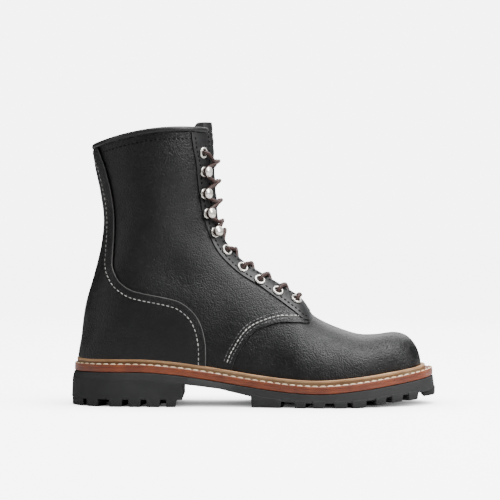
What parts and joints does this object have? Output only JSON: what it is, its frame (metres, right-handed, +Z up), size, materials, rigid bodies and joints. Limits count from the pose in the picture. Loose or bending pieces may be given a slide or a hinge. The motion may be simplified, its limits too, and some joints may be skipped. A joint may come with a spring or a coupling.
{
  "type": "logger boot",
  "caption": "High lace-up work boot with a raised heel, storm welt, lugged rubber sole and an open shaft; right foot.",
  "frame": {"origin": "on the floor, under the middle of the boot's length and width", "axes": "+X towards the toe, +Y towards the inner side of the foot, +Z up"},
  "size_m": [0.3047, 0.1136, 0.2353],
  "materials": {
    "grain_leather": "fine pebbled grain, soft sheen",
    "smooth_leather": "smooth, soft sheen",
    "insole_leather": "matt",
    "welt_leather": "satin",
    "midsole_leather": "burnished edge",
    "rubber": "matt moulded",
    "nickel": "pale warm plating",
    "lace": "round braid"
  },
  "bodies": {
    "root": {"upper": "grain_leather", "counter": "grain_leather", "eyestay_outer": "smooth_leather", "eyestay_inner": "smooth_leather", "binding": "smooth_leather", "tongue": "smooth_leather", "insole": "insole_leather", "welt": "welt_leather", "midsole": "midsole_leather", "outsole": "rubber", "heel": "rubber", "eyelet_outer_1": "nickel", "eyelet_outer_2": "nickel", "eyelet_outer_3": "nickel", "eyelet_outer_4": "nickel", "eyelet_outer_5": "nickel", "eyelet_outer_10": "nickel", "hook_outer_6": "nickel", "hook_outer_7": "nickel", "hook_outer_8": "nickel", "hook_outer_9": "nickel", "eyelet_inner_1": "nickel", "eyelet_inner_2": "nickel", "eyelet_inner_3": "nickel", "eyelet_inner_4": "nickel", "eyelet_inner_5": "nickel", "eyelet_inner_10": "nickel", "hook_inner_6": "nickel", "hook_inner_7": "nickel", "hook_inner_8": "nickel", "hook_inner_9": "nickel", "lace_crossing_1": "lace", "lace_crossing_2": "lace", "lace_crossing_3": "lace", "lace_crossing_4": "lace", "lace_crossing_5": "lace", "lace_crossing_6": "lace", "lace_crossing_7": "lace", "lace_crossing_8": "lace", "lace_crossing_9": "lace"}
  },
  "joints": []
}
